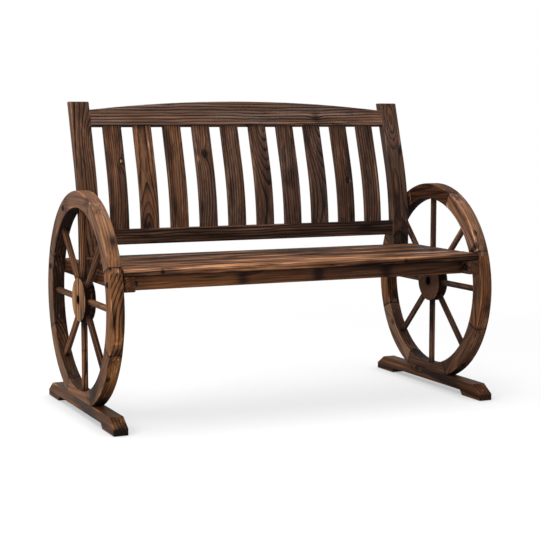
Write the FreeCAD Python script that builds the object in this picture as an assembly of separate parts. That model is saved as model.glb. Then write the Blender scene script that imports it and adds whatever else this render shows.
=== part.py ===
import FreeCAD, Part
import math
import os

# Garden bench carried on two wagon wheels, in millimetres.
# X runs along the seat, the sitter faces -Y, Z is up, and the origin is on the floor under the middle.

# Wheels
wheel_gap = 1088.0            # clear width between the two wheels
wheel_radius = 302.5
rim_depth = 47.0              # tread to inner surface
rim_thickness = 38.0
rim_round = 4.0               # worn arris of the rim
felloe_count = 8              # rim segments, one spoke in the middle of each
tongue_length = 14.0          # bridle joint, measured along the rim
tongue_thickness = 19.0
spoke_diameter = 18.0
spoke_in_rim = 15.0
spoke_in_hub = 25.0
hub_diameter = 124.0
hub_length = 34.0
hub_bore = 26.0
hub_round = 4.0
socket_clearance = 0.15       # round a spoke in its socket

# Skids under the wheels
skid_length = 620.0
skid_width = 41.0             # flush with the wheel's outer face
skid_height = 44.0
skid_chamfer_length = 40.0
skid_chamfer_height = 25.0
skid_pad_length = 100.0
skid_recess = 14.0            # height of the relief between the pads
skid_shoulder = 12.0          # run of the slanted end of the relief
skid_round = 2.5

# Seat
bearer_rise = 69.3            # middle of the bearers above the axle
seat_slat_count = 4
seat_slat_thickness = 20.0
seat_slat_gap = 6.0
seat_end_clearance = 2.0      # slat end to wheel
seat_nose_round = 9.0         # front edge of the front slat
seat_slat_round = 3.0
bearer_past_bolt = 19.0       # bearer end beyond its bolt
bearer_width = 34.0
bearer_height = 40.0
bearer_round = 3.5
seat_rail_thickness = 28.0
nut_room = 9.0                # front rail to the washer in front of it
rear_rail_setback = 8.0       # from the rear edge of the seat
seat_rail_round = 2.5
seat_tenon_length = 14.0
seat_tenon_shoulder = 7.0
middle_bearer_width = 30.0

# Back
post_screw_to_joint = 24.0    # along the rim, where a post crosses it
back_gap = 10.0               # rear edge of the seat to the posts
post_width = 57.0
post_depth = 30.0
post_clear_of_wheel = 7.0     # length of the spacer between them
post_round = 3.5
post_rise = 440.0             # top of the posts above the seat
bend_rise = 37.0              # where the posts start to bend
bend_radius = 750.0
lean_angle = 17.5             # of the straight upper part, in degrees
rail_setback = 2.0            # rail front behind the post front
back_rail_thickness = 26.0
back_rail_round = 3.0
lower_rail_rise = 29.0        # underside of the lower rail above the seat
lower_rail_height = 44.0
top_rail_drop = 66.5          # underside of the top rail below the tops of the posts
top_rail_end_height = 47.0
top_rail_mid_height = 74.5
back_tenon_length = 16.0
back_tenon_shoulder = 7.0
back_slat_count = 10
back_slat_width = 55.0
back_slat_thickness = 14.0
back_slat_in_rail = 12.0
back_slat_round = 2.0

# Fasteners
bolt_diameter = 8.0
bolt_head_diameter = 20.0
bolt_head_height = 5.0
bolt_past_nut = 3.0
washer_diameter = 20.0
washer_thickness = 1.6
nut_across_flats = 13.0
nut_height = 6.5
nut_sides = 6
hole_clearance = 0.2          # radial, round every bolt and screw
spacer_diameter = 32.0
coach_screw_bite = 42.0       # length inside the post
skid_screw_diameter = 6.0
skid_screw_head = 12.0
skid_screw_head_height = 4.0
skid_screw_bite = 18.0        # length inside the rim
skid_screw_spread = 60.0      # each side of the wheel's middle
slat_screw_diameter = 4.0
slat_screw_head = 8.5
slat_screw_length = 32.0
slat_screw_spread = 16.0      # each side of the slat's middle
lap_screw_diameter = 5.0
lap_screw_head = 10.0
lap_screw_bite = 24.0         # length inside the bearer

# Derived places
wheel_inner_x = wheel_gap / 2
wheel_mid_x = wheel_inner_x + rim_thickness / 2
wheel_outer_x = wheel_inner_x + rim_thickness
rim_inner_radius = wheel_radius - rim_depth
rim_mid_radius = wheel_radius - rim_depth / 2
felloe_angle = 360.0 / felloe_count
chord_distance = wheel_radius * math.cos(math.radians(felloe_angle / 2))
wheel_z = skid_height + chord_distance
tongue_angle = math.degrees(tongue_length / rim_mid_radius)

# The bearers are bolted to the rim, so the height and the front of the seat follow the wheel
bearer_inner_x = wheel_inner_x - bearer_width
bearer_mid_x = wheel_inner_x - bearer_width / 2
bearer_mid_z = wheel_z + bearer_rise
bearer_top = bearer_mid_z + bearer_height / 2
bearer_bottom = bearer_mid_z - bearer_height / 2
bearer_bolt_y = math.sqrt(rim_mid_radius ** 2 - bearer_rise ** 2)
seat_height = bearer_top + seat_slat_thickness
seat_front = -bearer_bolt_y - bearer_past_bolt

# The posts are screwed to the rim, short of the joint between its second and third felloes
post_screw_angle = 1.5 * felloe_angle - math.degrees(post_screw_to_joint / rim_mid_radius)
post_screw_y = rim_mid_radius * math.cos(math.radians(post_screw_angle))
post_screw_z = wheel_z + rim_mid_radius * math.sin(math.radians(post_screw_angle))
bend_z = seat_height + bend_rise
post_line_radius = bend_radius - post_depth / 2
screw_into_bend = max(0, post_screw_z - bend_z)
bend_setback = post_line_radius - math.sqrt(post_line_radius ** 2 - screw_into_bend ** 2)
post_front_y = post_screw_y - bend_setback - post_depth / 2
post_outer_x = wheel_inner_x - post_clear_of_wheel
post_inner_x = post_outer_x - post_width

# The slats fill the seat from the front of the bearers to the posts
seat_rear = post_front_y - back_gap
seat_gaps = (seat_slat_count - 1) * seat_slat_gap
seat_slat_width = (seat_rear - seat_front - seat_gaps) / seat_slat_count
slat_end_x = wheel_inner_x - seat_end_clearance
front_rail_y = -bearer_bolt_y + washer_diameter / 2 + nut_room
rear_rail_y = seat_rear - rear_rail_setback - seat_rail_thickness

bend_y = post_front_y + bend_radius
lean = math.radians(lean_angle)
straight_y = bend_y - bend_radius * math.cos(lean)
straight_z = bend_z + bend_radius * math.sin(lean)
post_top = seat_height + post_rise
post_straight = (post_top - straight_z) / math.cos(lean)
top_rail_start = post_straight - top_rail_drop / math.cos(lean)
back_slat_pitch = (2 * post_inner_x + back_slat_width) / (back_slat_count + 1)
back_slat_setback = rail_setback + (back_rail_thickness - back_slat_thickness) / 2


def vec(x, y, z):
    return FreeCAD.Vector(x, y, z)


def block(x0, x1, y0, y1, z0, z1):
    """A box between two corners."""
    return Part.makeBox(x1 - x0, y1 - y0, z1 - z0, vec(x0, y0, z0))


def eased(solid, radius):
    """The solid with every arris rounded."""
    return solid.makeFillet(radius, solid.Edges)


def long_edges(solid, extent):
    """The edges that run most of the solid's length along one axis, as XLength or ZLength."""
    half = getattr(solid.BoundBox, extent) / 2
    return [edge for edge in solid.Edges if getattr(edge.BoundBox, extent) > half]


def rod(start, end, diameter):
    """A round bar from one point to another."""
    along = end.sub(start)
    return Part.makeCylinder(diameter / 2, along.Length, start, along)


def mirrored(solid):
    """The same piece on the left side."""
    return solid.mirror(vec(0, 0, 0), vec(1, 0, 0))


def cut_all(solid, tools):
    """The solid less every tool in turn."""
    for tool in tools:
        solid = solid.cut(tool)
    return solid.removeSplitter()


def export(name, solids):
    """One node: a single solid, or a group of separate ones."""
    shape = solids[0] if len(solids) == 1 else Part.makeCompound(solids)
    shape.exportStep("parts/" + name + ".step")
    print(name, len(shape.Solids), round(shape.Volume), shape.isValid())


def export_pair(name, solids):
    """The right piece and its mirror image."""
    export("right_" + name, solids)
    export("left_" + name, [mirrored(solid) for solid in solids])


# The wheel lies in the YZ plane. Angles start at the rear (+Y) and turn up over the top.

def on_wheel(angle, radius, x):
    """A point of the wheel at an angle in degrees."""
    turn = math.radians(angle)
    return vec(x, radius * math.cos(turn), wheel_z + radius * math.sin(turn))


def rim_sector(start, sweep):
    """A stretch of the rim: its rounded section revolved about the hub."""
    plan = block(wheel_inner_x, wheel_outer_x, rim_inner_radius, wheel_radius, 0, rim_depth)
    rounded = plan.makeFillet(rim_round, long_edges(plan, "ZLength"))
    section = min(rounded.Faces, key=lambda face: face.CenterOfMass.z)
    section = section.translated(vec(0, 0, wheel_z))
    centre = vec(0, 0, wheel_z)
    section = section.rotate(centre, vec(1, 0, 0), start)
    return section.revolve(centre, vec(1, 0, 0), sweep)


def rim_tongue(start):
    """The tongue of a bridle joint, in the middle of the rim's thickness."""
    x0 = wheel_mid_x - tongue_thickness / 2
    x1 = wheel_mid_x + tongue_thickness / 2
    slab = block(x0, x1, -wheel_radius, wheel_radius, wheel_z - wheel_radius, wheel_z + wheel_radius)
    return rim_sector(start, tongue_angle).common(slab)


def spoke(angle):
    """A round dowel from the hub to the rim."""
    inner = on_wheel(angle, hub_diameter / 2 - spoke_in_hub, wheel_mid_x)
    outer = on_wheel(angle, rim_inner_radius + spoke_in_rim, wheel_mid_x)
    return rod(inner, outer, spoke_diameter)


def spoke_socket(angle):
    """The hole that holds a spoke at both ends."""
    inner = on_wheel(angle, hub_diameter / 2 - spoke_in_hub, wheel_mid_x)
    outer = on_wheel(angle, rim_inner_radius + spoke_in_rim, wheel_mid_x)
    return rod(inner, outer, spoke_diameter + 2 * socket_clearance)


def felloe(angle, bores):
    """A rim segment: tongue at one end, slot at the other, seated flat where it meets the skid."""
    start = angle - felloe_angle / 2
    end = angle + felloe_angle / 2
    solid = rim_sector(start, felloe_angle).fuse(rim_tongue(end))
    under_skid_top = block(wheel_inner_x, wheel_outer_x, -wheel_radius, wheel_radius,
                           wheel_z - 2 * wheel_radius, skid_height)
    return cut_all(solid, [rim_tongue(start), under_skid_top, spoke_socket(angle)] + bores)


def hub(angles):
    """The turned hub with its bore and one socket for each spoke."""
    x0 = wheel_mid_x - hub_length / 2
    x1 = wheel_mid_x + hub_length / 2
    disc = eased(rod(vec(x0, 0, wheel_z), vec(x1, 0, wheel_z), hub_diameter), hub_round)
    bore = rod(vec(x0, 0, wheel_z), vec(x1, 0, wheel_z), hub_bore)
    return cut_all(disc, [bore] + [spoke_socket(angle) for angle in angles])


def skid(bores):
    """The foot beam: chamfered ends, and a relief between its two pads."""
    half = skid_length / 2
    pad_end = half - skid_pad_length
    side = [(-half, 0), (-pad_end, 0), (-pad_end + skid_shoulder, skid_recess),
            (pad_end - skid_shoulder, skid_recess), (pad_end, 0), (half, 0),
            (half, skid_height - skid_chamfer_height), (half - skid_chamfer_length, skid_height),
            (-half + skid_chamfer_length, skid_height), (-half, skid_height - skid_chamfer_height)]
    corners = [vec(wheel_outer_x - skid_width, y, z) for y, z in side]
    face = Part.Face(Part.makePolygon(corners + corners[:1]))
    return cut_all(eased(face.extrude(vec(skid_width, 0, 0)), skid_round), bores)


# The back. Its pieces follow one line: upright at the seat, a bend, then a straight lean.

def back_strip(front, rear, foot_z, straight, x0, x1):
    """A piece of the back between two depths behind the post front."""
    def line_points(depth):
        radius = bend_radius - depth
        foot = vec(x0, post_front_y + depth, foot_z)
        bend = vec(x0, post_front_y + depth, bend_z)
        half = vec(x0, bend_y - radius * math.cos(lean / 2), bend_z + radius * math.sin(lean / 2))
        end = vec(x0, bend_y - radius * math.cos(lean), bend_z + radius * math.sin(lean))
        tip = end.add(vec(0, straight * math.sin(lean), straight * math.cos(lean)))
        return foot, bend, half, end, tip

    foot_f, bend_f, half_f, end_f, tip_f = line_points(front)
    foot_r, bend_r, half_r, end_r, tip_r = line_points(rear)
    edges = [Part.LineSegment(foot_f, bend_f).toShape(), Part.Arc(bend_f, half_f, end_f).toShape(),
             Part.LineSegment(end_f, tip_f).toShape(), Part.LineSegment(tip_f, tip_r).toShape(),
             Part.LineSegment(tip_r, end_r).toShape(), Part.Arc(end_r, half_r, bend_r).toShape(),
             Part.LineSegment(bend_r, foot_r).toShape(), Part.LineSegment(foot_r, foot_f).toShape()]
    return Part.Face(Part.Wire(edges)).extrude(vec(x1 - x0, 0, 0))


def leaned(solid):
    """A board drawn upright, with its foot at the start of the straight lean, tilted into place."""
    tilted = solid.rotate(vec(0, 0, 0), vec(1, 0, 0), -lean_angle)
    return tilted.translated(vec(0, straight_y, straight_z))


def back_slat(index):
    """A slat that follows the posts, with both ends housed in the rails."""
    middle = (index - (back_slat_count - 1) / 2) * back_slat_pitch
    x0 = middle - back_slat_width / 2
    x1 = middle + back_slat_width / 2
    foot = seat_height + lower_rail_rise + lower_rail_height - back_slat_in_rail
    tip = top_rail_start + back_slat_in_rail
    strip = back_strip(back_slat_setback, back_slat_setback + back_slat_thickness, seat_height, tip, x0, x1)
    below = block(x0, x1, seat_front, bend_y, 0, foot)
    return eased(strip.cut(below), back_slat_round)


def tenon_block(solid, inset, length):
    """The box of a rail's tenons, inset from all four sides of the rail."""
    box = solid.BoundBox
    return block(box.XMin - length, box.XMax + length, box.YMin + inset, box.YMax - inset,
                 box.ZMin + inset, box.ZMax - inset)


def lower_back_rail(slats):
    """The rail under the slats."""
    y0 = post_front_y + rail_setback
    z0 = seat_height + lower_rail_rise
    rail = block(-post_inner_x, post_inner_x, y0, y0 + back_rail_thickness, z0, z0 + lower_rail_height)
    tenons = tenon_block(rail, back_tenon_shoulder, back_tenon_length)
    rounded = rail.makeFillet(back_rail_round, long_edges(rail, "XLength"))
    return cut_all(rounded.fuse(tenons), slats), tenons


def top_back_rail(slats):
    """The arched rail over the slats, drawn upright and tilted with the posts."""
    low = top_rail_start
    end = low + top_rail_end_height
    corners = [vec(-post_inner_x, rail_setback, end), vec(-post_inner_x, rail_setback, low),
               vec(post_inner_x, rail_setback, low), vec(post_inner_x, rail_setback, end)]
    edges = [Part.LineSegment(a, b).toShape() for a, b in zip(corners, corners[1:])]
    crown = vec(0, rail_setback, low + top_rail_mid_height)
    edges.append(Part.Arc(corners[3], crown, corners[0]).toShape())
    rail = Part.Face(Part.Wire(edges)).extrude(vec(0, back_rail_thickness, 0))
    rounded = rail.makeFillet(back_rail_round, long_edges(rail, "XLength"))
    reach = post_inner_x + back_tenon_length
    tenons = block(-reach, reach, rail_setback + back_tenon_shoulder,
                   rail_setback + back_rail_thickness - back_tenon_shoulder,
                   low + back_tenon_shoulder, end - back_tenon_shoulder)
    tenons = leaned(tenons)
    return cut_all(leaned(rounded).fuse(tenons), slats), tenons


def back_post(bores):
    """A post cut to the line of the back, level at its top, its foot lapped over the side bearer."""
    longer = post_straight + 2 * post_depth * math.tan(lean)
    strip = back_strip(0, post_depth, bearer_bottom, longer, post_inner_x, post_outer_x)
    reach = post_depth + longer
    above = block(post_inner_x, post_outer_x, post_front_y, post_front_y + reach, post_top, post_top + reach)
    post = strip.cut(above)
    lap = block(bearer_inner_x, wheel_inner_x, post_front_y, post_front_y + post_depth, 0, bearer_top)
    return cut_all(eased(post, post_round), [lap] + bores)


# The seat

def seat_slat(index, bores):
    """A board along the seat. The front one has a rounded nose."""
    y0 = seat_front + index * (seat_slat_width + seat_slat_gap)
    board = block(-slat_end_x, slat_end_x, y0, y0 + seat_slat_width, bearer_top, seat_height)
    if index == 0:
        nose = [edge for edge in long_edges(board, "XLength") if edge.BoundBox.YMax < y0 + seat_nose_round]
        heel = [edge for edge in long_edges(board, "XLength") if edge.BoundBox.YMin > y0 + seat_nose_round]
        board = board.makeFillet(seat_slat_round, heel).makeFillet(seat_nose_round, nose)
    else:
        board = eased(board, seat_slat_round)
    return cut_all(board, bores)


def seat_rail(y0):
    """A rail between the bearers, and its tenons."""
    rail = block(-bearer_inner_x, bearer_inner_x, y0, y0 + seat_rail_thickness, bearer_bottom, bearer_top)
    tenons = tenon_block(rail, seat_tenon_shoulder, seat_tenon_length)
    rounded = rail.makeFillet(seat_rail_round, long_edges(rail, "XLength"))
    return rounded.fuse(tenons).removeSplitter(), tenons


def side_bearer(bores):
    """The bar under the slat ends, against the wheel's inner face."""
    bar = block(bearer_inner_x, wheel_inner_x, seat_front, -seat_front, bearer_bottom, bearer_top)
    return cut_all(eased(bar, bearer_round), bores)


# Fasteners

def domed_bolt(y, z, inner_x):
    """A round-headed bolt through the rim from its outer face."""
    shank = rod(vec(inner_x, y, z), vec(wheel_outer_x, y, z), bolt_diameter)
    reach = bolt_head_diameter / 2
    ball = (reach ** 2 + bolt_head_height ** 2) / (2 * bolt_head_height)
    dome = Part.makeSphere(ball, vec(wheel_outer_x + bolt_head_height - ball, y, z))
    cap = rod(vec(wheel_outer_x, y, z), vec(wheel_outer_x + 2 * ball, y, z), bolt_head_diameter)
    return shank.fuse(dome.common(cap)).removeSplitter()


def hole(y, z, x0, x1, diameter):
    """A cross hole along X with the clearance of its bolt."""
    return rod(vec(x0, y, z), vec(x1, y, z), diameter + 2 * hole_clearance)


def ring(y, z, x0, x1, outer, bore):
    """A washer or spacer along X."""
    return rod(vec(x0, y, z), vec(x1, y, z), outer).cut(hole(y, z, x0, x1, bore))


def hex_nut(y, z, x0, x1):
    """A nut along X with two flats upright."""
    radius = nut_across_flats / 2 / math.cos(math.pi / nut_sides)
    corners = []
    for step in range(nut_sides):
        turn = 2 * math.pi * step / nut_sides
        corners.append(vec(x0, y + radius * math.sin(turn), z + radius * math.cos(turn)))
    face = Part.Face(Part.makePolygon(corners + corners[:1]))
    return face.extrude(vec(x1 - x0, 0, 0)).cut(hole(y, z, x0, x1, bolt_diameter))


def countersunk(tip, top, diameter, head, clearance):
    """A flat-headed screw between its tip and the middle of its head, or the hole for it."""
    into = tip.sub(top).normalize()
    depth = (head - diameter) / 2
    cone = Part.makeCone(head / 2 + clearance, diameter / 2 + clearance, depth, top, into)
    return cone.fuse(rod(top, tip, diameter + 2 * clearance)).removeSplitter()


def slat_screw_places(index):
    """Two screws at each end of a seat slat, and one in its middle."""
    y = seat_front + index * (seat_slat_width + seat_slat_gap) + seat_slat_width / 2
    ends = [(x, y + side) for x in (-bearer_mid_x, bearer_mid_x)
            for side in (-slat_screw_spread, slat_screw_spread)]
    return ends + [(0, y)]


os.makedirs("parts", exist_ok=True)
spoke_angles = [step * felloe_angle for step in range(felloe_count)]

# Right-hand holes that several pieces share
nut_x = bearer_inner_x - washer_thickness
bolt_end_x = nut_x - nut_height - bolt_past_nut
bearer_bolts = [domed_bolt(y, bearer_mid_z, bolt_end_x) for y in (-bearer_bolt_y, bearer_bolt_y)]
bearer_holes = [hole(y, bearer_mid_z, bearer_inner_x, wheel_outer_x, bolt_diameter)
                for y in (-bearer_bolt_y, bearer_bolt_y)]
washers = [ring(y, bearer_mid_z, nut_x, bearer_inner_x, washer_diameter, bolt_diameter)
           for y in (-bearer_bolt_y, bearer_bolt_y)]
nuts = [hex_nut(y, bearer_mid_z, nut_x - nut_height, nut_x) for y in (-bearer_bolt_y, bearer_bolt_y)]

post_screw_tip = post_outer_x - coach_screw_bite
post_screw = domed_bolt(post_screw_y, post_screw_z, post_screw_tip)
post_screw_hole = hole(post_screw_y, post_screw_z, post_screw_tip, wheel_outer_x, bolt_diameter)
post_spacer = ring(post_screw_y, post_screw_z, post_outer_x, wheel_inner_x, spacer_diameter, bolt_diameter)

skid_screws = []
skid_holes = []
for y in (-skid_screw_spread, skid_screw_spread):
    head_top = vec(wheel_mid_x, y, skid_recess + skid_screw_head_height)
    head_low = vec(wheel_mid_x, y, skid_recess)
    tip = vec(wheel_mid_x, y, skid_height + skid_screw_bite)
    head = rod(head_low, head_top, skid_screw_head)
    skid_screws.append(head.fuse(rod(head_top, tip, skid_screw_diameter)))
    wide = rod(head_low, head_top, skid_screw_head + 2 * hole_clearance)
    skid_holes.append(wide.fuse(rod(head_top, tip, skid_screw_diameter + 2 * hole_clearance)))

lap_screw_tip = vec(bearer_inner_x + lap_screw_bite, post_front_y + post_depth / 2, bearer_mid_z)
lap_screw_top = vec(post_inner_x, post_front_y + post_depth / 2, bearer_mid_z)
lap_screw = countersunk(lap_screw_tip, lap_screw_top, lap_screw_diameter, lap_screw_head, 0)
lap_hole = countersunk(lap_screw_tip, lap_screw_top, lap_screw_diameter, lap_screw_head, hole_clearance)

slat_screws = []
slat_holes = []
for index in range(seat_slat_count):
    for x, y in slat_screw_places(index):
        tip = vec(x, y, seat_height - slat_screw_length)
        top = vec(x, y, seat_height)
        slat_screws.append(countersunk(tip, top, slat_screw_diameter, slat_screw_head, 0))
        slat_holes.append(countersunk(tip, top, slat_screw_diameter, slat_screw_head, hole_clearance))

# Wheels and skids
for number, angle in enumerate(spoke_angles, 1):
    export_pair("wheel_felloe_%d" % number, [felloe(angle, bearer_holes + [post_screw_hole] + skid_holes)])
export_pair("wheel_spokes", [spoke(angle) for angle in spoke_angles])
export_pair("wheel_hub", [hub(spoke_angles)])
export_pair("foot_skid", [skid(skid_holes)])

# Seat
front_rail, front_tenons = seat_rail(front_rail_y)
rear_rail, rear_tenons = seat_rail(rear_rail_y)
half_middle = middle_bearer_width / 2
middle_bearer = block(-half_middle, half_middle, front_rail_y + seat_rail_thickness, rear_rail_y,
                      bearer_bottom, bearer_top)
export_pair("seat_bearer", [side_bearer(bearer_holes + slat_holes + [front_tenons, rear_tenons, lap_hole])])
export("front_seat_rail", [cut_all(front_rail, slat_holes)])
export("rear_seat_rail", [cut_all(rear_rail, slat_holes)])
export("middle_seat_bearer", [cut_all(middle_bearer, slat_holes)])
for index in range(seat_slat_count):
    export("seat_slat_%d" % (index + 1), [seat_slat(index, slat_holes)])

# Back
slats = [back_slat(index) for index in range(back_slat_count)]
lower_rail, lower_tenons = lower_back_rail(slats)
top_rail, top_tenons = top_back_rail(slats)
export_pair("back_post", [back_post([lower_tenons, top_tenons, post_screw_hole, lap_hole])])
export("back_lower_rail", [lower_rail])
export("back_top_rail", [top_rail])
for index, slat in enumerate(slats, 1):
    export("back_slat_%02d" % index, [slat])

# Fasteners, each kind one group for both sides
for name, solids in (("bearer_bolts", bearer_bolts), ("bearer_bolt_washers", washers),
                     ("bearer_bolt_nuts", nuts), ("post_coach_screws", [post_screw]),
                     ("post_spacers", [post_spacer]), ("skid_screws", skid_screws),
                     ("post_lap_screws", [lap_screw])):
    export(name, solids + [mirrored(solid) for solid in solids])
export("seat_slat_screws", slat_screws)
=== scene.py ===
# %% [markdown]
# A garden bench of flamed fir, carried on two wagon wheels.
# The construction comes in as a fixed frame in metres: X runs along the seat, the sitter faces -Y and Z
# is up. This lesson sets up the picture and then finishes every piece. The timber was scorched with a
# torch and brushed, so the soft wood burnt dark, the hard rings stand proud, and rubbed edges show the
# lighter wood below.

# %% Load the frame
import math

import bpy
from mathutils import Matrix, Vector


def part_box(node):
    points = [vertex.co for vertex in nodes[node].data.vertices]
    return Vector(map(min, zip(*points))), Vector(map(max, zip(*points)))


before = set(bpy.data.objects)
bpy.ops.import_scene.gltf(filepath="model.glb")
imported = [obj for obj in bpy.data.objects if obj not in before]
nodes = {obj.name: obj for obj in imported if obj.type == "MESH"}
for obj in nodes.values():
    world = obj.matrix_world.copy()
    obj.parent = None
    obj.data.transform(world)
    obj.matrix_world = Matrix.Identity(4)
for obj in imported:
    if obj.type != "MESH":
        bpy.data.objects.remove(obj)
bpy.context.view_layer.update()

# %% [markdown]
# The camera stands about four metres in front of the left wheel, a little below the top of the back, and
# looks slightly down. A long lens keeps the wheels nearly the same size. It could be aimed with a Track To
# constraint, but two plain angles are easier to read and to change.

# %% Camera
EYE = (-1.684, -3.708, 0.816)
HEADING = 24.50
DOWNWARD = 6.10
LENS = 92.72

camera_data = bpy.data.cameras.new("camera")
camera_data.lens = LENS
camera = bpy.data.objects.new("camera", camera_data)
camera.location = EYE
camera.rotation_euler = (math.radians(90 - DOWNWARD), 0, math.radians(-HEADING))
bpy.context.scene.collection.objects.link(camera)
bpy.context.scene.camera = camera
bpy.context.scene.view_settings.view_transform = "Standard"
print("camera at", EYE, "with a", LENS, "mm lens")

# %% [markdown]
# A material is a graph of nodes, and long graphs are hard to follow when each link is written by hand.
# So one small class wraps a socket: arithmetic on it adds Math nodes, and one method adds any other kind
# of node. The finishes below then read like formulas.

# %% A field over a surface
class Field:
    """A value, vector or colour that varies over a surface: one output socket of a material's nodes."""

    def __init__(self, tree, socket=None):
        self.tree = tree
        self.socket = socket

    def node(self, kind, settings=None, sockets=None, out=0):
        """Adds a node: its type, then its settings, then a value or a link for each socket."""
        made = self.tree.nodes.new(kind)
        for name, value in (settings or {}).items():
            if name == "stops":
                fill_ramp(made.color_ramp, value)
            else:
                setattr(made, name, value)
        for name, value in (sockets or {}).items():
            if isinstance(value, Field):
                self.tree.links.new(value.socket, made.inputs[name])
            else:
                made.inputs[name].default_value = value
        return Field(self.tree, made.outputs[out] if made.outputs else None)

    def math(self, operation, *values):
        """A Math node on fields and numbers."""
        return self.node("ShaderNodeMath", {"operation": operation}, dict(enumerate(values)))

    def __add__(self, other):
        return self.math("ADD", self, other)

    def __sub__(self, other):
        return self.math("SUBTRACT", self, other)

    def __rsub__(self, other):
        return self.math("SUBTRACT", other, self)

    def __mul__(self, other):
        return self.math("MULTIPLY", self, other)

    def __truediv__(self, other):
        return self.math("DIVIDE", self, other)

    def __rtruediv__(self, other):
        return self.math("DIVIDE", other, self)

    def __pow__(self, other):
        return self.math("POWER", self, other)

    def __rpow__(self, other):
        return self.math("POWER", other, self)

    def __abs__(self):
        return self.math("ABSOLUTE", self)

    __radd__ = __add__
    __rmul__ = __mul__

    def step(self, low, high):
        """A soft step from 0 at low to 1 at high, or the other way round where low is the larger."""
        return self.node("ShaderNodeMapRange", {"interpolation_type": "SMOOTHSTEP"},
                         {"Value": self, "From Min": low, "From Max": high})


print("field:", Field.__doc__)

# %% A material and its ramp
def fill_ramp(ramp, stops):
    """Gives a colour ramp its stops, each a place from 0 to 1 and a colour."""
    while len(ramp.elements) < len(stops):
        ramp.elements.new(1.0)
    for element, (place, colour) in zip(ramp.elements, stops):
        element.position = place
        element.color = (*colour, 1.0)


def new_material(name):
    """An empty material and a field to start its graph from."""
    material = bpy.data.materials.new(name)
    material.use_nodes = True
    material.node_tree.nodes.clear()
    return material, Field(material.node_tree)


def ray_kinds(canvas):
    """Two masks: the camera's rays, and these with reflections, which all show the white room."""
    kinds = ("Is Camera Ray", "Is Glossy Ray", "Is Transmission Ray")
    seen, mirrored, through = (canvas.node("ShaderNodeLightPath", out=kind) for kind in kinds)
    return seen, canvas.math("MAXIMUM", seen, canvas.math("MAXIMUM", mirrored, through))


print("materials before this lesson adds its own:", len(bpy.data.materials))

# %% [markdown]
# The bench stands on a white sweep. A plain white floor in this light would be far brighter than white,
# and the soft rim of the shadow would be lost. So the camera sees a dim surface that catches the shadow,
# with a glow added to it. Close under the skids, where little light comes in, an Ambient Occlusion node
# holds the glow back. The timber still gets the light that a pale floor throws back, and further off all
# fades into the world's white.

# %% White sweep
FADE_START = 1.1
FADE_END = 2.4
PAPER = (0.80, 0.80, 0.80, 1)
DIM_PAPER = (0.24, 0.24, 0.24, 1)
FLOOR_GLOW = 0.72
CORNER_GLOW = 0.36
CORNER_REACH = 0.05
CORNER_RAYS = 8

material, canvas = new_material("white_sweep")
seen, shown = ray_kinds(canvas)
place = canvas.node("ShaderNodeTexCoord", out="Object")
distance = canvas.node("ShaderNodeVectorMath", {"operation": "LENGTH"}, {0: place}, out="Value")
far = distance.step(FADE_START, FADE_END)
paper = canvas.node("ShaderNodeBsdfDiffuse", None, {"Color": PAPER})
shaded = canvas.node("ShaderNodeBsdfDiffuse", None, {"Color": DIM_PAPER})
open_sky = canvas.node("ShaderNodeAmbientOcclusion", {"samples": CORNER_RAYS},
                       {"Distance": CORNER_REACH}, out="AO")
bright = canvas.node("ShaderNodeEmission", None, {"Strength": FLOOR_GLOW})
dim = canvas.node("ShaderNodeEmission", None, {"Strength": CORNER_GLOW})
glow = canvas.node("ShaderNodeMixShader", None, {0: open_sky, 1: dim, 2: bright})
pictured = canvas.node("ShaderNodeAddShader", None, {0: shaded, 1: glow})
near = canvas.node("ShaderNodeMixShader", None, {0: seen, 1: paper, 2: pictured})
white = canvas.node("ShaderNodeEmission", None, {"Strength": 1.0})
surface = canvas.node("ShaderNodeMixShader", None, {0: far * shown, 1: near, 2: white})
canvas.node("ShaderNodeOutputMaterial", None, {"Surface": surface})
print(material.name, len(material.node_tree.nodes), "nodes")

# %% Floor
FLOOR_SIZE = 30.0
FLOOR_DROP = 0.0004

half = FLOOR_SIZE / 2
corners = [(-half, -half, 0), (half, -half, 0), (half, half, 0), (-half, half, 0)]
floor_mesh = bpy.data.meshes.new("floor")
floor_mesh.from_pydata(corners, [], [(0, 1, 2, 3)])
floor_mesh.transform(Matrix.Translation((0, 0, -FLOOR_DROP)))
floor_mesh.materials.append(material)
floor = bpy.data.objects.new("floor", floor_mesh)
bpy.context.scene.collection.objects.link(floor)
print("floor", FLOOR_SIZE, "m across")

# %% [markdown]
# The light is a studio's: a large soft lamp overhead lights the seat, one on the left gives the left wheel
# its bright face, a weak one from the front opens the shadows, and the white room does the rest. Small
# lamps would draw hard shadows. The world is white to the camera and in reflections, and dimmer where it
# lights the timber.

# %% Lamps
AIM = Vector((0, 0, 0.45))
LAMPS = {
    "top_lamp": ((-0.5, 0.3, 3.6), 3.0, 170),  # place, size in metres, watts
    "left_lamp": ((-4.2, -2.2, 1.9), 2.4, 170),
    "front_lamp": ((0.8, -4.6, 2.0), 2.4, 60),
}


def soft_lamp(name, place, size, power):
    """A square lamp that faces the bench."""
    data = bpy.data.lights.new(name, "AREA")
    data.size = size
    data.energy = power
    lamp = bpy.data.objects.new(name, data)
    lamp.location = place
    lamp.rotation_euler = (AIM - Vector(place)).to_track_quat("-Z", "Y").to_euler()
    bpy.context.scene.collection.objects.link(lamp)
    print(name, size, "m,", power, "W")


for name, lamp_values in LAMPS.items():
    soft_lamp(name, *lamp_values)

# %% White room
ROOM_LIGHT = 0.20

world = bpy.data.worlds.new("white_room")
bpy.context.scene.world = world
world.use_nodes = True
world.node_tree.nodes.clear()
sky = Field(world.node_tree)
shown = ray_kinds(sky)[1]
strength = shown * (1 - ROOM_LIGHT) + ROOM_LIGHT
room = sky.node("ShaderNodeBackground", None, {"Color": (1, 1, 1, 1), "Strength": strength})
sky.node("ShaderNodeOutputWorld", None, {"Surface": room})
print("a white room that lights at", ROOM_LIGHT)

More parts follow.
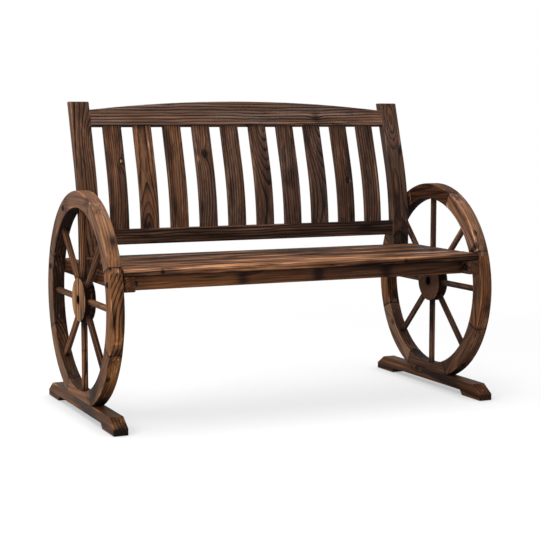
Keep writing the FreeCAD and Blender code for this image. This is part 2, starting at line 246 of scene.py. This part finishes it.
# %% [markdown]
# A board was cut from a tree, so its grain is a solid pattern: growth rings are cylinders about the pith,
# and each face shows where it slices them. An image could only wrap round the board, with wrong ends.
# Working the rings out in the board's own millimetres gives straight lines, flames and end grain all from
# one formula. Every board has three directions: along the grain, across its face, and through its
# thickness.

# %% Directions of a board
ALONG_X = ((1, 0, 0), (0, 1, 0))
ALONG_X_UPRIGHT = ((1, 0, 0), (0, 0, 1))
ALONG_Y_UPRIGHT = ((0, 1, 0), (0, 0, 1))
MILLIMETRE = 0.001
LAYERS = {
    "slow_wander": (330, 70, 2.0, 0),  # length, width, detail, and what it adds to the board's seed
    "quick_wander": (85, 16, 2.0, 11),
    "fibre": (110, 2.8, 2.0, 31),
    "pore": (26, 0.8, 1.0, 37),
    "scorch": (120, 38, 3.0, 41),
    "rubbing": (70, 30, 2.0, 53),
    "bleaching": (200, 30, 2.0, 61),
    "ember": (260, 8, 2.0, 71),
    "rim_wear": (55, 40, 2.0, 83),
}
print(len(LAYERS), "layers of noise, such as fibre:", LAYERS["fibre"])

# %% A board
class Board:
    """A piece of timber: its middle, its directions, and the fields that its finish is made from."""

    def __init__(self, name, centre, directions):
        self.along = Vector(directions[0]).normalized()
        self.across = Vector(directions[1]).normalized()
        self.through = self.along.cross(self.across)
        turn = Matrix((self.along, self.across, self.through)).transposed().to_euler()
        self.material, self.canvas = new_material("flamed_fir_" + name)
        spot = self.canvas.node("ShaderNodeTexCoord", out="Object")
        self.place = self.canvas.node("ShaderNodeMapping", {"vector_type": "TEXTURE"}, {
            "Vector": spot, "Location": centre, "Rotation": turn, "Scale": (MILLIMETRE,) * 3})
        self.split(self.place)
        self.normal = self.canvas.node("ShaderNodeNewGeometry", out="Normal")
        self.edge_axis = self.across

    def split(self, place):
        """Takes a, u and v, the distances along, across and through, from a place in millimetres."""
        parts = self.canvas.node("ShaderNodeSeparateXYZ", None, {0: place}).socket.node.outputs
        self.a, self.u, self.v = (Field(self.canvas.tree, part) for part in parts)

    def normal_part(self, direction):
        """The part of the surface's normal along a direction, from -1 to 1."""
        return self.canvas.node("ShaderNodeVectorMath", {"operation": "DOT_PRODUCT"},
                                {0: self.normal, 1: direction}, out="Value")

    def facing(self, direction):
        """How squarely the surface faces along a direction, from 0 to 1."""
        return abs(self.normal_part(direction))

    def noise(self, length, width, seed, detail=2.0):
        """Cloudy noise drawn out along the grain: its size along and across, in millimetres."""
        drawn = self.canvas.node("ShaderNodeMapping", None, {
            "Vector": self.place, "Location": (seed * 3.7, seed * 7.3, seed * 5.1),
            "Scale": (1 / length, 1 / width, 1 / width)})
        return self.canvas.node("ShaderNodeTexNoise", None,
                                {"Vector": drawn, "Scale": 1.0, "Detail": detail, "Roughness": 0.55})

    def layer(self, name, seed):
        """One of the named layers of noise."""
        length, width, detail, shift = LAYERS[name]
        return self.noise(length, width, seed + shift, detail)


print("board:", Board.__doc__)

# %% [markdown]
# Rings: the distance from the pith, divided by the width of a ring. The pith leans against the board,
# which draws the pointed flames of a sawn plank, and noise makes the line wander as a tree does.
# Within one ring the wood darkens slowly from spring to autumn and then starts afresh, so its profile is
# a saw tooth. A Wave texture draws rings too, but its pith can't lean and its years are all alike.

# %% Growth rings
FAINT_YEAR = 0.4
YEAR_RANGE = 0.75


def ring_field(board, look, push):
    """Distance from a leaning, wandering pith in ring widths, less a push in millimetres."""
    pith_across, pith_through = look["pith"]
    lean_across, lean_through = look["lean"]
    slow = board.layer("slow_wander", look["seed"])
    quick = board.layer("quick_wander", look["seed"])
    wander = (slow - 0.5 + (quick - 0.5) * 0.16) * look["wander"]
    du = board.u - board.a * lean_across - pith_across + wander
    dv = board.v - board.a * lean_through - pith_through + wander * 0.6
    radius = (du * du + dv * dv) ** 0.5
    return (radius - push) / look["ring"]


def autumn_wood(board, rings, seed):
    """The dark line of each ring: it comes slowly, ends sharply, and is not the same in every year."""
    year = rings.math("FLOOR", rings)
    season = rings - year
    strength = board.canvas.node("ShaderNodeTexWhiteNoise", {"noise_dimensions": "1D"},
                                 {"W": year + seed * 1.7})
    line = season.step(0.3, 0.9) ** 2.0 * season.step(1.0, 0.95)
    return line * (strength * YEAR_RANGE + FAINT_YEAR)


print("autumn lines are from", FAINT_YEAR, "to", FAINT_YEAR + YEAR_RANGE, "times as strong as a look says")

# %% [markdown]
# A knot is a branch that runs through the board. The rings flow round it, so a bell curve pushes them
# aside, and its middle is a small disc with a black rim. A long bell with no disc draws the closed ovals
# of a bowed board, and a bell that only changes the shade makes a burnt or a rubbed spot, or in places a
# painted highlight or a painted shadow.

# %% Knots and spots
KNOT_PUSH = 1.3
KNOT_BURN = 0.34


def bell(along, across, length, width):
    """exp(-(along / length)^2 - (across / width)^2), which is 1 in the middle and fades out."""
    power = ((along / length) ** 2.0 + (abs(across) / width) ** 2.0) * -1.0
    return power.math("EXPONENT", power)


def knots_and_spots(board, across, knots, ovals, spots):
    """The push on the rings and the change of shade, with across the field to measure in, u or v."""
    push = 0.0
    shade = 0.0
    for at, off, radius, core_shade in knots:
        da = abs(board.a - at)
        du = across - off
        push = bell(da, du, radius * 5, radius * 2) * (radius * KNOT_PUSH) + push
        away = (da * da * 0.5 + du * du) ** 0.5
        disc = away.step(radius * 1.8, radius * 0.8)
        core = away.step(radius * 0.95, radius * 0.5)
        shade = shade - disc * KNOT_BURN + core * core_shade
    for at, off, length, width, height in ovals:
        push = bell(abs(board.a - at), across - off, length, width) * height + push
    for at, off, length, width, change in spots:
        shade = bell(abs(board.a - at), across - off, length, width) * change + shade
    return push, shade


print("a spot is at", round(math.exp(-1), 2), "of its strength where its length ends")

# %% [markdown]
# The finish: one number, the shade, says how dark the flame left each spot, and in places it also
# carries painted shade and painted highlights. A ramp turns it into colour from char through umber to
# the tan of bare fir. Colours could be mixed layer by layer, but they soon turn muddy, and a number is
# easy to add to. A look holds what differs from board to board, in millimetres and in parts of the shade.

# %% Tones and looks
BURNT_TONES = [
    (0.00, (0.0060, 0.0028, 0.0020)),
    (0.20, (0.0212, 0.0094, 0.0057)),
    (0.42, (0.0708, 0.0298, 0.0146)),
    (0.62, (0.1560, 0.0666, 0.0300)),
    (0.80, (0.2900, 0.1300, 0.0550)),
    (1.00, (0.5000, 0.2280, 0.0960)),
]
PLAIN_LOOK = {
    "seed": 1.0,             # which cut of the tree
    "pith": (14.0, 60.0),    # pith from the board's middle, across and through
    "lean": (0.01, 0.05),    # how the pith drifts along the board
    "ring": 6.0,             # width of a ring
    "wander": 14.0,          # how far the rings stray
    "light": 0.46,           # shade of the plain wood
    "line": 0.34,            # how much darker the autumn lines are
    "face_line": 1.0,        # share of the lines that the broad faces show
    "band": 0.45,            # strength of the broad light and dark bands
    "band_size": (420, 17),  # their length and width
    "ember": 0.20,           # strength of the orange streaks
    "scorch": 0.22,          # strength of the burnt patches
    "rubbed": 0.24,          # how far the edges are worn back
    "ends": 0.16,            # how much darker the end grain is
    "end_line": 0.25,        # how much more of the lines it shows
    "sides": 0.0,            # how much darker the surfaces square to the face are
    "knots": (),             # along, across, radius, shade of the core
    "ovals": (),             # along, across, length, width, height
    "spots": (),             # along, across, length, width, change of shade
    "side_knots": (),        # knots on the narrow side, with through instead of across
    "side_spots": (),        # and spots there
    "grey": 0.06,            # share of the colour that is bleached
    "hue": 0.0,              # degrees from red towards yellow
    "sheen": 0.05,           # specular level
}
print(len(BURNT_TONES), "tones, and", len(PLAIN_LOOK), "values to a look")

# %% [markdown]
# The shade of a spot: the autumn lines, broad bands, fine fibres, scorched patches, knots, burnt ends and
# rubbed edges each add or take away a little, and surfaces that face down get a painted shadow. A worn
# edge could be painted by hand, but the normal turns from one face to the next on every rounded arris,
# and that finds them all. The lines and fibres also stand a little proud, as brushing leaves them, and
# that relief is a Bump node.

# %% Flamed fir
BAND_SHIFT = 23
FIBRE_SHADE = 0.45
# How much darker surfaces that face down are: a painted shadow.
PAINTED_UNDERSIDE_SHADOW = 0.15
ROUGHNESS = 0.56
RELIEF = 0.6
RELIEF_DEPTH = 0.0012


def rubbed_edges(board):
    """1 on rounded long arrises: with n how far a spot faces the edge axis, 4 n n (1 - n n) peaks there."""
    n = board.facing(board.edge_axis)
    return (n * n * (1 - n * n) * 4).step(0.25, 0.85)


def flamed_fir(board, extra=0.0, **changes):
    """The finish of one board. extra is a further change of shade."""
    look = {**PLAIN_LOOK, **changes}
    seed = look["seed"]
    push, marks = knots_and_spots(board, board.u, look["knots"], look["ovals"], look["spots"])
    side_push, side_marks = knots_and_spots(board, board.v, look["side_knots"], (), look["side_spots"])
    line = autumn_wood(board, ring_field(board, look, push + side_push), seed)
    band = board.noise(*look["band_size"], seed + BAND_SHIFT)
    fibre = board.layer("fibre", seed)
    pore = board.layer("pore", seed)
    ember = board.layer("ember", seed).step(0.56, 0.76)
    patch = board.layer("scorch", seed).step(0.54, 0.74)
    face = board.facing(board.through)
    end = board.facing(board.along).step(0.5, 0.9)
    # Surfaces that face down: the mask of the painted underside shadow.
    below = (board.normal_part((0, 0, 1)) * -1.0).step(0.5, 0.9)
    edge = rubbed_edges(board) * (board.layer("rubbing", seed) * 2.4 - 0.75)

    line_weight = (1.0 - face.step(0.5, 0.9) * (1 - look["face_line"])) * look["line"]
    line_weight = line_weight + end * look["end_line"]
    shade = look["light"] + (band - 0.5) * look["band"] + (fibre - 0.5) * FIBRE_SHADE
    shade = shade + ember * look["ember"] - line * line_weight - patch * look["scorch"]
    shade = shade - end * look["ends"] - below * PAINTED_UNDERSIDE_SHADOW - face.step(0.7, 0.3) * look["sides"]
    shade = shade + edge * look["rubbed"] + marks + side_marks + extra
    tone = shade.node("ShaderNodeValToRGB", {"stops": BURNT_TONES}, {0: shade})
    bleached = board.layer("bleaching", seed).step(0.3, 0.7) * 0.7 + 0.3
    colour = shade.node("ShaderNodeHueSaturation", None, {
        "Color": tone, "Hue": 0.5 + look["hue"] / 360, "Saturation": 1.0 - bleached * look["grey"]})

    roughness = ROUGHNESS + (pore - 0.5) * 0.3 - line * 0.12 + patch * 0.12 + below * 0.4
    height = line * 0.55 + fibre * 0.5 + pore * 0.25
    relief = shade.node("ShaderNodeBump", None, {
        "Strength": RELIEF, "Distance": RELIEF_DEPTH, "Height": height})
    wood = shade.node("ShaderNodeBsdfPrincipled", None, {
        "Base Color": colour, "Roughness": roughness, "Normal": relief,
        "Specular IOR Level": look["sheen"]})
    shade.node("ShaderNodeOutputMaterial", None, {"Surface": wood})
    return board.material


print("a finish of plain roughness", ROUGHNESS)

# %% [markdown]
# With the finish in place, a straight board takes one line. Its middle is the middle of the piece's box,
# so nothing has to be measured by hand. The two hidden pieces under the seat come first, because they
# need nothing but straight grain.

# %% Dress a piece
def dress(name, material):
    """Gives a piece of the frame its finish."""
    for slot in nodes[name].material_slots:
        slot.material = material
    print(name, material.name, len(material.node_tree.nodes), "nodes")


def straight_board(name, directions, **changes):
    """A board of the frame with straight grain through its middle."""
    low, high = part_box(name)
    board = Board(name, (low + high) / 2, directions)
    dress(name, flamed_fir(board, **changes))


STRAIGHT = {"lean": (0.004, 0.012), "wander": 12.0}
straight_board("rear_seat_rail", ALONG_X_UPRIGHT, seed=7.9, light=0.44, **STRAIGHT)
straight_board("middle_seat_bearer", ALONG_Y_UPRIGHT, seed=8.4, light=0.44, **STRAIGHT)

# %% [markdown]
# The seat: four slats with their grain along X, over rails and bearers of the same timber. The slats are
# rubbed most, where people sit. Spots along their front edges are painted highlights, and spots along
# their rear edges, by the gaps, painted shade. One finish for all four would look as if they were one
# plank, so each has a seed and spots of its own.

# %% Seat slats
SEAT = {**STRAIGHT, "band": 1.8, "band_size": (260, 32), "ember": 0.4, "sheen": 0.02, "line": 0.44}
# Slat 1's nose: a painted highlight along its rounded top edge, painted shade on its lower half and a dark
# painted shadow line under it; the spot at 42 is painted shade along the rear edge, by the gap.
straight_board("seat_slat_1", ALONG_X, seed=2.0, pith=(20, 70), light=0.445, **SEAT,
               side_spots=((0, 9, 2000, 6, 0.12), (0, -2, 2000, 5, -0.07), (0, -11, 2000, 4.5, -0.3),
                           (-435, 1, 4.5, 6, -0.5), (300, 0, 5, 5, -0.3)),
               spots=((0, 42, 900, 8, -0.3), (540, 0, 150, 300, -0.2), (170, 0, 190, 70, 0.15),
                      (-300, 0, 90, 70, -0.12)))
# Spots at -42 are painted highlights on the front edges, spots at 42 painted shade along the rear edges, by
# the gaps; the right ends are darker.
straight_board("seat_slat_2", ALONG_X, seed=3.3, light=0.42, **SEAT,
               spots=((0, -42, 900, 12, 0.24), (0, 42, 900, 10, -0.25), (540, 0, 150, 300, -0.2)))
straight_board("seat_slat_3", ALONG_X, seed=4.1, light=0.445, **SEAT,
               spots=((0, -42, 900, 12, 0.16), (0, 42, 900, 10, -0.25), (540, 0, 150, 300, -0.16)))
straight_board("seat_slat_4", ALONG_X, seed=5.6, light=0.34, **SEAT,
               spots=((0, -42, 900, 12, 0.14),))

# %% Front rail and side bearers
# The front rail's spot along its top edge, at 19, is a painted shadow under the seat's nose.
straight_board("front_seat_rail", ALONG_X_UPRIGHT, seed=6.2, light=0.35, line=0.14, band=0.3, ring=5.0,
               scorch=0.04, grey=-0.07, **STRAIGHT,
               spots=((-189, -4, 17, 22, -0.30), (40, -4, 17, 30, -0.28), (256, 0, 17, 34, -0.28),
                      (-285, 6, 36, 3, -0.3), (0, -20, 900, 12, 0.08), (0, 19, 2000, 4, -0.35),
                      (-420, 0, 230, 60, 0.22), (430, 0, 300, 60, -0.06)))
# The left bearer's side spot is painted shade in the gap between its front end and the wheel.
straight_board("left_seat_bearer", ALONG_Y_UPRIGHT, seed=9.7, light=0.38, pith=(-60, 50), ring=7.0,
               ends=0.02, end_line=-0.15, grey=-0.14, side_spots=((-280, -16, 40, 4, -0.5),))
straight_board("right_seat_bearer", ALONG_Y_UPRIGHT, seed=10.3, light=0.36, pith=(-60, -50), ring=9.0,
               ends=0.0, end_line=-0.2)

# %% [markdown]
# The back: ten slats and two posts stand along Z and lean with the sitter. Each was cut from another
# board, so each gets its own place in the tree: a pith far to the side gives straight lines, and one just
# behind the face gives flames.

# %% Back slats
BACK_LEAN = math.radians(12)
UP_THE_BACK = ((0, math.sin(BACK_LEAN), math.cos(BACK_LEAN)), (1, 0, 0))
BACK_SLATS = [
    dict(seed=14.3, light=0.40, pith=(60, 20), lean=(0.01, 0.02), ember=0.25, knots=((45, 16, 5.5, 0.75),),
         spots=((30, -4, 90, 7, 0.22), (-110, 0, 60, 9, 0.14), (-120, 26, 80, 6, -0.15))),
    dict(seed=16.1, light=0.49, pith=(-6, 12), lean=(0.0, 0.10), ember=0.3,
         spots=((25, -2, 26, 8, -0.16), (-150, -10, 22, 14, -0.3), (60, -16, 140, 14, 0.12))),
    dict(seed=17.9, light=0.49, pith=(-150, 15), lean=(0.01, 0.01), ring=7.0,
         spots=((90, -26, 90, 10, -0.12),)),
    dict(seed=19.2, light=0.45, pith=(90, 25), lean=(0.01, 0.02), ring=7.5, grey=0.2,
         knots=((65, 1, 7, 0),),
         spots=((50, -20, 12, 4, 0.35), (66, 2, 20, 12, -0.12), (110, 4, 45, 5, 0.10))),
    dict(seed=20.8, light=0.455, pith=(130, 10), lean=(0.01, 0.01), ring=7.5, grey=0.2,
         spots=((-60, -25, 80, 5, 0.16),)),
    dict(seed=22.6, light=0.39, pith=(16, 24), lean=(0.02, -0.10), scorch=0.1, grey=0.2,
         spots=((40, -25, 60, 6, 0.18),)),
    dict(seed=24.5, light=0.345, pith=(-80, 30), lean=(0.02, 0.01), ring=7.5, line=0.26, grey=0.22,
         spots=((20, -6, 180, 5, 0.16), (60, 22, 30, 5, 0.16), (-70, 24, 40, 4, 0.2))),
    dict(seed=26.4, light=0.34, pith=(24, 24), lean=(0.03, -0.09), grey=0.24, scorch=0.1,
         spots=((10, -24, 60, 6, 0.2),)),
    dict(seed=28.3, light=0.34, pith=(-120, 12), lean=(0.01, 0.02), ring=7.0, grey=0.15,
         knots=((-25, 8, 5, 0),),
         spots=((40, 24, 70, 7, -0.2), (40, -14, 100, 9, 0.10), (-27, 17, 5, 3, 0.4))),
    dict(seed=29.7, light=0.37, pith=(110, 18), lean=(0.01, 0.01), ring=8.0, grey=0.28,
         spots=((-40, 20, 110, 6, 0.22), (110, 10, 40, 7, -0.14))),
]
for number, look in enumerate(BACK_SLATS, 1):
    straight_board("back_slat_%02d" % number, UP_THE_BACK, **look)

# %% Back rails
RAIL_LEAN = math.radians(17.5)
ALONG_TOP_RAIL = ((1, 0, 0), (0, math.sin(RAIL_LEAN), math.cos(RAIL_LEAN)))
straight_board("back_top_rail", ALONG_TOP_RAIL, seed=11.2, light=0.515, pith=(160, 20), lean=(0.004, 0.01),
               ring=9.0, line=0.5, band=0.7, wander=18.0, ember=0.15, grey=0.36,
               ovals=((246, -13, 22, 9, 7),), spots=((246, -14, 13, 17, -0.27),))
straight_board("back_lower_rail", ALONG_X_UPRIGHT, seed=12.6, light=0.345, pith=(60, 30), ring=8.0,
               line=0.55, band=1.1, grey=0.15, lean=(0.004, 0.012), wander=22.0,
               spots=((420, 0, 170, 60, -0.14),))

# %% Back posts
POST = {"wander": 6.0, "scorch": 0.1, "band": 0.35}
straight_board("left_back_post", UP_THE_BACK, seed=31.4, light=0.45, pith=(-90, 40), lean=(0.0, 0.03),
               ring=13.0, line=0.4, grey=0.1, **POST,
               ovals=((135, 24, 65, 24, -36), (10, 24, 110, 24, -30)))
straight_board("right_back_post", UP_THE_BACK, seed=33.8, light=0.40, pith=(-6, 60), lean=(0.0, 0.02),
               ring=8.5, line=0.36, grey=0.24, **POST,
               ovals=((-17, -11, 75, 15, 16), (190, 2, 70, 20, 26)),
               spots=((-170, 8, 35, 7, -0.25), (95, 16, 14, 6, -0.25), (-200, 0, 45, 60, -0.16),
                      (-17, -11, 75, 15, -0.22), (-12, -11, 56, 8.5, 0.3), (-52, -11, 18, 5, -0.2)))
straight_board("post_spacers", ALONG_X_UPRIGHT, seed=35.2, light=0.28)

# %% [markdown]
# The wheels: a felloe is sawn from a straight plank, so its grain keeps the direction of its middle while
# the rim bends away from it, and runs out at the tread. Grain bent round the whole rim would look like
# steamed wood. The inside of the rim is darker, and the joints caught the most flame. At a joint the
# tongue of one felloe lies between two cheeks of the next, whose ends are black.

# %% A felloe
wheel_low, wheel_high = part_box("right_wheel_spokes")
WHEEL_Z = (wheel_low.z + wheel_high.z) / 2
WHEEL_X = (wheel_low.x + wheel_high.x) / 2
RIM_MIDDLE = 279.0
HALF_FELLOE = math.radians(22.5)
HALF_TONGUE = 8.5
SEAM = (2.2, 0.3)
CHEEK_ENDS = (9, 2)
RIM_INSIDE = (-17, -23)
FACE_RIMS = (17, 23)
TREAD_RIMS = (13, 18.5)
CHEEK_BURN = 0.2
INSIDE_DARKENING = 0.25
RUBBED_RIM = 0.2


def felloe(name, side, number, seam_shade=0.4, **changes):
    """A rim segment: grain along its middle tangent, darker on the inside of the rim and burnt at its
    joints.
    """
    turn = math.radians(45 * (number - 1))
    outward = Vector((0, math.cos(turn), math.sin(turn)))
    tangent = Vector((0, -math.sin(turn), math.cos(turn)))
    centre = Vector((side * WHEEL_X, 0, WHEEL_Z)) + outward * (RIM_MIDDLE * MILLIMETRE)
    board = Board(name, centre, (tangent, outward))
    board.edge_axis = board.through
    reach = board.u + RIM_MIDDLE
    radius = (board.a * board.a + reach * reach) ** 0.5
    angle = board.a.math("ARCTAN2", board.a, reach)
    to_joint = abs(HALF_FELLOE - abs(angle)) * radius
    to_cheeks = (angle + HALF_FELLOE) * radius
    seam = to_joint.step(*SEAM)
    cheeks = to_cheeks.step(*CHEEK_ENDS) * abs(board.v).step(HALF_TONGUE - 1, HALF_TONGUE + 1)
    flat = board.facing(board.through)
    inside = (radius - RIM_MIDDLE).step(*RIM_INSIDE) * flat.step(0.8, 0.3)
    rims = abs(radius - RIM_MIDDLE).step(*FACE_RIMS) * flat.step(0.6, 0.9)
    rims = rims + abs(board.v).step(*TREAD_RIMS) * flat.step(0.5, 0.2) * (1 - inside)
    worn = rims * board.layer("rim_wear", changes["seed"]).step(0.46, 0.66)
    extra = seam * -seam_shade + cheeks * -CHEEK_BURN + inside * -INSIDE_DARKENING + worn * RUBBED_RIM
    dress(name, flamed_fir(board, extra, **changes))


print("wheel middles at", WHEEL_X, "m from the middle and", WHEEL_Z, "m up")

# %% Felloes
LEFT_FELLOES = [
    dict(seed=41.0, light=0.46),
    dict(seed=43.3, light=0.48),
    dict(seed=45.2, light=0.545, grey=0.08, line=0.16, band=0.3, seam_shade=0.1,
         side_spots=((-92, 6, 18, 14, -0.2),)),
    dict(seed=47.7, light=0.58, ember=0.3, line=0.22, face_line=0.8, hue=1.0,
         spots=((30, -16, 80, 20, -0.2),),
         side_spots=((43, -8, 14, 11, -0.4), (90, 4, 26, 12, 0.14), (-40, -2, 40, 11, 0.14))),
    dict(seed=49.1, light=0.56, ember=0.35, pith=(0, 90), lean=(0.02, 0.5), ring=11.0, wander=56.0,
         face_line=0.2, line=0.4, grey=-0.05, hue=1.0, sheen=0.03, ovals=((130, 0, 100, 300, 58),),
         side_spots=((21, 11, 22, 4, -0.4), (83, 0, 4, 14, 0.2), (108, -2, 9, 12, -0.3),
                     (0, -17, 70, 9, -0.22), (60, 6, 40, 6, 0.12))),
    # Felloe 6's side spot at 82 is painted shade on the tread where the rim comes down by the skid.
    dict(seed=51.9, light=0.475, grey=-0.07, hue=1.0, spots=((45, -14, 75, 20, -0.3),),
         side_knots=((-37, 9, 5, 0),), side_spots=((-60, 0, 45, 12, 0.26), (82, 0, 28, 16, -0.3))),
    dict(seed=53.4, light=0.55, grey=-0.07, hue=1.5),
    dict(seed=55.8, light=0.535, grey=-0.02, hue=1.5),
]
RIGHT_FELLOES = [
    dict(seed=61.0, light=0.63, grey=-0.09),
    dict(seed=63.3, light=0.50),
    dict(seed=65.2, light=0.33, grey=-0.15),
    dict(seed=67.7, light=0.575, ember=0.35, band=0.8, grey=0.2,
         side_knots=((60, 10, 5, 0), (98, 17, 5, 0)), side_spots=((74, 9, 14, 3, -0.25),)),
    dict(seed=69.1, light=0.505, grey=-0.06),
    # Felloe 6's side spot at 82 is painted shade on the tread where the rim comes down by the skid.
    dict(seed=71.9, light=0.46, side_knots=((33, 5, 5, 0),), side_spots=((82, 0, 28, 16, -0.25),)),
    dict(seed=73.4, light=0.42, line=0.2),
    dict(seed=75.8, light=0.71, grey=0.2, knots=((41, -15, 6, 0),)),
]
RIM_WOOD = {"pith": (18, 70), "lean": (0.02, 0.03), "ring": 7.5, "face_line": 0.6}
for number, (left, right) in enumerate(zip(LEFT_FELLOES, RIGHT_FELLOES), 1):
    felloe("left_wheel_felloe_%d" % number, -1, number, **{**RIM_WOOD, **left})
    felloe("right_wheel_felloe_%d" % number, 1, number, **{**RIM_WOOD, **right})

# %% [markdown]
# The spokes are eight dowels in one piece of the frame. Each could have a material of its own, but they
# share one piece. Folding the angle round the hub to the nearest spoke puts them all on one line, and a
# long step along the grain gives each dowel another stretch of the tree.

# %% Spokes
SPOKE_STEP = math.radians(45)
NEXT_STRETCH = 311.0
HUB_END = (88, 66)
RIM_END = (232, 254)
SPOKE_BURN = 0.2


def spokes(name, side, **changes):
    """Round dowels: the angle is folded to the nearest spoke, and each spoke moves on along the grain."""
    board = Board(name, Vector((side * WHEEL_X, 0, WHEEL_Z)), ALONG_Y_UPRIGHT)
    radius = (board.a * board.a + board.u * board.u) ** 0.5
    angle = board.a.math("ARCTAN2", board.u, board.a)
    turns = angle / SPOKE_STEP
    number = turns.math("ROUND", turns)
    folded = angle - number * SPOKE_STEP
    along = radius * folded.math("COSINE", folded) + number * NEXT_STRETCH
    across = radius * folded.math("SINE", folded)
    burnt = radius.step(*HUB_END) + radius.step(*RIM_END)
    board.place = board.canvas.node("ShaderNodeCombineXYZ", None, {0: along, 1: across, 2: board.v})
    board.split(board.place)
    dress(name, flamed_fir(board, burnt * -SPOKE_BURN, ends=0.0, rubbed=0.0, **changes))


upper_spoke = -2 * NEXT_STRETCH
spokes("left_wheel_spokes", -1, seed=84.1, light=0.48, grey=-0.02, pith=(30, 12), ember=0.45, band=1.0,
       spots=((143 + upper_spoke, 0, 3, 20, -0.2), (160 + upper_spoke, 0, 90, 20, 0.13)))
spokes("right_wheel_spokes", 1, seed=86.5, light=0.44, grey=0.15, pith=(30, 12), ring=4.0, ember=0.5,
       band=1.4)

# %% [markdown]
# The hubs are discs sawn from a plank, light on the face, charred round the side, and with painted
# shade in the bore. A spot in the middle of the grain paints that shade, and the look's sides do the rest.

# %% Hubs
LEFT_DISC = ((0, 0, 1), (0, 1, 0))
RIGHT_DISC = ((0, -0.77, 0.64), (0, 0.64, 0.77))
HUB = {"pith": (80, 10), "lean": (0.01, 0.01), "ends": 0.0, "sheen": 0.02}
# A dark spot round the axle: painted shade in the bore.
PAINTED_BORE_SHADOW = ((0, 0, 15, 15, -0.5),)
# On the left hub, the spot at (0, 40) is a painted highlight towards the rear edge of the face.
straight_board("left_wheel_hub", LEFT_DISC, seed=81.3, light=0.72, sides=0.68, band=1.5, ember=0.35,
               grey=0.03, hue=2.2, **HUB,
               spots=PAINTED_BORE_SHADOW + ((40, -7, 24, 6, -0.4), (-36, -30, 22, 16, -0.2), (0, 40, 60, 14, 0.10)))
straight_board("right_wheel_hub", RIGHT_DISC, seed=82.9, light=0.565, sides=0.6, ring=7.0, **HUB,
               spots=PAINTED_BORE_SHADOW)

# %% [markdown]
# The skids are beams with rubbed edges, burnt at their cut-off corners, with a painted shadow where the
# rims come down on them. Spots could mark the corners one by one, but the direction that the surface
# faces finds them all.

# %% Skids
# A painted shadow on the skid's top where the rim comes down at the front.
PAINTED_SHADOW_UNDER_RIM = ((-88, 26, 26, 5, -0.5),)
BURNT_CORNER = 0.22
SKID = {**STRAIGHT, "scorch": 0.0, "ring": 9.0, "rubbed": 0.36, "ends": -0.06}


def skid(name, **changes):
    """A foot beam: a straight board, darker where it faces along the grain, at its ends and corners."""
    low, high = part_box(name)
    board = Board(name, (low + high) / 2, ALONG_Y_UPRIGHT)
    corner = board.facing(board.along).step(0.35, 0.5)
    dress(name, flamed_fir(board, corner * -BURNT_CORNER, **changes))


skid("left_foot_skid", seed=88.2, light=0.41, grey=-0.05, hue=1.5, line=0.32, **SKID,
     spots=PAINTED_SHADOW_UNDER_RIM + ((-312, -8, 14, 26, -0.2), (60, -4, 60, 8, 0.1)))
skid("right_foot_skid", seed=90.6, light=0.425, grey=-0.08, line=0.28, **SKID,
     spots=PAINTED_SHADOW_UNDER_RIM, knots=((54, 18, 6, 0),))

# %% [markdown]
# The fasteners: bolts, nuts and coach screws are blackened, so they are nearly black with a soft grey
# highlight. The small countersunk screws are browned like the wood round them. Bright metal would need
# the Metallic socket, but an oxide skin looks right as a dark, slightly glossy surface.

# %% Fasteners
MOTTLE_SCALE = 420.0
MOTTLE_SHARE = 0.3
OXIDE_SHINE = 0.09


def blackened_steel(name, colour, roughness):
    """A dark oxide skin with a mottled gloss."""
    material, canvas = new_material(name)
    spot = canvas.node("ShaderNodeTexCoord", out="Object")
    mottle = canvas.node("ShaderNodeTexNoise", None, {"Vector": spot, "Scale": MOTTLE_SCALE, "Detail": 3.0})
    steel = canvas.node("ShaderNodeBsdfPrincipled", None, {
        "Base Color": colour, "Roughness": mottle * MOTTLE_SHARE + roughness,
        "Specular IOR Level": OXIDE_SHINE})
    canvas.node("ShaderNodeOutputMaterial", None, {"Surface": steel})
    return material


black_steel = blackened_steel("black_steel", (0.0060, 0.0045, 0.0038, 1), 0.22)
brown_steel = blackened_steel("browned_screws", (0.030, 0.018, 0.012, 1), 0.30)
for name in ("bearer_bolts", "bearer_bolt_washers", "bearer_bolt_nuts", "post_coach_screws"):
    dress(name, black_steel)
for name in ("skid_screws", "post_lap_screws", "seat_slat_screws"):
    dress(name, brown_steel)

# %% [markdown]
# Only finishes were added to the pieces of the frame.
